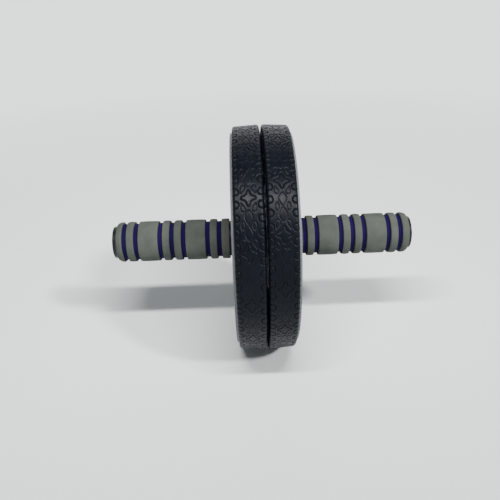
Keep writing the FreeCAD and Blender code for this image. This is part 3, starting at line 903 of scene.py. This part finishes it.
def steel(name, dark, light, roughness):
    """Turned steel between two shades, scratched round the axle."""
    finish, tree, shader = new_finish(name)
    place = tree.nodes.new("ShaderNodeTexCoord")
    squeeze = tree.nodes.new("ShaderNodeMapping")
    squeeze.inputs["Scale"].default_value = SCRATCHES_PER_METRE
    scratches = tree.nodes.new("ShaderNodeTexNoise")
    scratches.inputs["Scale"].default_value = 1
    tree.links.new(place.outputs["Object"], squeeze.inputs["Vector"])
    tree.links.new(squeeze.outputs["Vector"], scratches.inputs["Vector"])
    value = scratches.outputs["Fac"]
    tree.links.new(shades(tree, value, dark, light), shader.inputs["Base Color"])
    rough = levels(tree, value, roughness - SCRATCH_SPREAD, roughness + SCRATCH_SPREAD)
    tree.links.new(rough, shader.inputs["Roughness"])
    shader.inputs["Metallic"].default_value = 1.0
    bump(tree, shader, value, *SCRATCH_RELIEF)
    return finish


dress(steel("rod_steel", *ROD_SHADES, roughness=0.30), solids("axle_rod"))
dress(steel("screw_steel", *SCREW_SHADES, roughness=0.36), solids("retaining"))


# %% [markdown]
# ## The floor and the light
#
# The roller stands on a plain pale floor. A backdrop sheet is usual in a studio, but its
# edges show from the side. So the floor is one very large plane. Close to the roller it is
# lit by the lamps alone, and further away it shines by itself in the tone of the
# surroundings, so that no line shows where the two meet.

# %% Lay the floor
FLOOR_HALF = 14.0


def pale_floor():
    """A flat floor under the tyres."""
    corners = [(FLOOR_HALF * x, FLOOR_HALF * y, 0) for x, y in ((-1, -1), (1, -1), (1, 1), (-1, 1))]
    mesh = bpy.data.meshes.new("pale_floor")
    mesh.from_pydata(corners, [], [(0, 1, 2, 3)])
    floor = put("pale_floor", mesh)
    print(f"pale_floor: {2 * FLOOR_HALF:.0f} m square")
    return floor


floor = pale_floor()

# %% Paint the floor
LAMPLIT_WITHIN = 0.26
SHINING_BEYOND = 1.2
HORIZON_TONE = (1.85, 1.93, 1.93)
FLOOR_PATCHES = 0.4
FLOOR_SHADES = ((0.35, (0.75, 0.78, 0.78)), (0.65, (0.73, 0.76, 0.76)))
FLOOR_ROUGHNESS = 0.85
FLOOR_GLOSS = 0.1


def floor_paint():
    """Pale paint with a faint drift of tone, which hands over to the surroundings' tone."""
    finish, tree, shader = new_finish("floor_paint")
    place = tree.nodes.new("ShaderNodeTexCoord")
    distance = tree.nodes.new("ShaderNodeVectorMath")
    distance.operation = "LENGTH"
    far = tree.nodes.new("ShaderNodeMapRange")
    far.inputs["From Min"].default_value = LAMPLIT_WITHIN
    far.inputs["From Max"].default_value = SHINING_BEYOND
    tree.links.new(place.outputs["Object"], distance.inputs[0])
    tree.links.new(distance.outputs["Value"], far.inputs["Value"])
    drift = ramp(tree, grain(tree, FLOOR_PATCHES), *FLOOR_SHADES)
    tree.links.new(blend(tree, far.outputs["Result"], drift, grey(0)), shader.inputs["Base Color"])
    tree.links.new(far.outputs["Result"], shader.inputs["Emission Strength"])
    shader.inputs["Emission Color"].default_value = (*HORIZON_TONE, 1)
    shader.inputs["Roughness"].default_value = FLOOR_ROUGHNESS
    shader.inputs["Specular IOR Level"].default_value = FLOOR_GLOSS
    return finish


dress(floor_paint(), [floor])

# %% [markdown]
# The shadows on the floor give the lamps away. Each grip throws one band straight back, wider
# than the grip and slowly fading towards its end, so the main lamp is a long strip close above
# the front. A round lamp would blur the bands all over, so the strip is a thin rectangle. A
# lamp this close fades fast with distance, so a falloff node keeps its light even.

# %% The strip lamp above the front
STRIP_MIDDLE = Vector((0.0, -0.23, 0.46))
STRIP_AIM = Vector((0.0, 0.86, -0.51))
STRIP_SIZE = (0.32, 0.03)
STRIP_POWER = 21.0


def strip_lamp():
    """A long, thin lamp whose light is as strong far away as it is close by."""
    data = bpy.data.lights.new("strip_lamp", "AREA")
    data.shape = "RECTANGLE"
    data.size, data.size_y = STRIP_SIZE
    data.energy = STRIP_POWER
    data.use_nodes = True
    tree = data.node_tree
    falloff = tree.nodes.new("ShaderNodeLightFalloff")
    falloff.inputs["Strength"].default_value = 1
    tree.links.new(falloff.outputs["Constant"], tree.nodes["Emission"].inputs["Strength"])
    lamp = put("strip_lamp", data)
    lamp.location = STRIP_MIDDLE
    lamp.rotation_euler = STRIP_AIM.to_track_quat("-Z", "Y").to_euler()
    print(f"strip_lamp: {STRIP_SIZE[0]:.2f} m long, {STRIP_MIDDLE.z:.2f} m above the floor")


strip_lamp()

# %% [markdown]
# The wheels also throw a long, pale shadow to the left, from a lamp further off at the front
# right. A weak, very wide lamp behind the roller keeps its back from going black. Area lamps
# close by would light the floor in pools. Both are far enough away to be sun lamps, which
# light the whole floor evenly.

# %% The lamp at the right and the weak one at the back
RIGHT_LAMP = {"direction": Vector((0.60, -0.475, 0.643)), "strength": 3.5, "spread": 6}
BACK_LAMP = {"direction": Vector((0.05, 0.80, 0.50)), "strength": 0.9, "spread": 50}


def soft_lamp(name, direction, strength, spread):
    """A sun lamp that shines from a direction and is a spread of degrees wide."""
    data = bpy.data.lights.new(name, "SUN")
    data.angle = math.radians(spread)
    data.energy = strength
    lamp = put(name, data)
    lamp.location = wheels_middle + direction
    lamp.rotation_euler = (-direction).to_track_quat("-Z", "Y").to_euler()
    height = math.degrees(math.asin(direction.normalized().z))
    print(f"{name}: {strength} W per square metre from {height:.0f} degrees up")


soft_lamp("right_lamp", **RIGHT_LAMP)
soft_lamp("back_lamp", **BACK_LAMP)

# %% [markdown]
# The rest of the light comes from pale surroundings, which fill the shadows evenly. A
# panorama picture could surround the scene, but a plain room needs no file. Its colour is a
# ramp over height: the floor's own tone up to the horizon, so that no edge shows behind the
# roller, and a dimmer tone above, which is what the pieces reflect.

# %% The surroundings
UPPER_TONE = (0.140, 0.150, 0.161)
HORIZON_HEIGHT = 0.02
FADE_HEIGHT = 0.30


def pale_surroundings():
    """A world that is as pale as the floor at the horizon and dimmer above."""
    world = bpy.context.scene.world or bpy.data.worlds.new("surroundings")
    bpy.context.scene.world = world
    world.use_nodes = True
    tree = world.node_tree
    place = tree.nodes.new("ShaderNodeTexCoord")
    parts = tree.nodes.new("ShaderNodeSeparateXYZ")
    tree.links.new(place.outputs["Generated"], parts.inputs["Vector"])
    tone = ramp(tree, parts.outputs["Z"], (HORIZON_HEIGHT, HORIZON_TONE), (FADE_HEIGHT, UPPER_TONE))
    tree.links.new(tone, tree.nodes["Background"].inputs["Color"])
    print("surroundings:", HORIZON_TONE, "at the horizon,", UPPER_TONE, "above")


pale_surroundings()
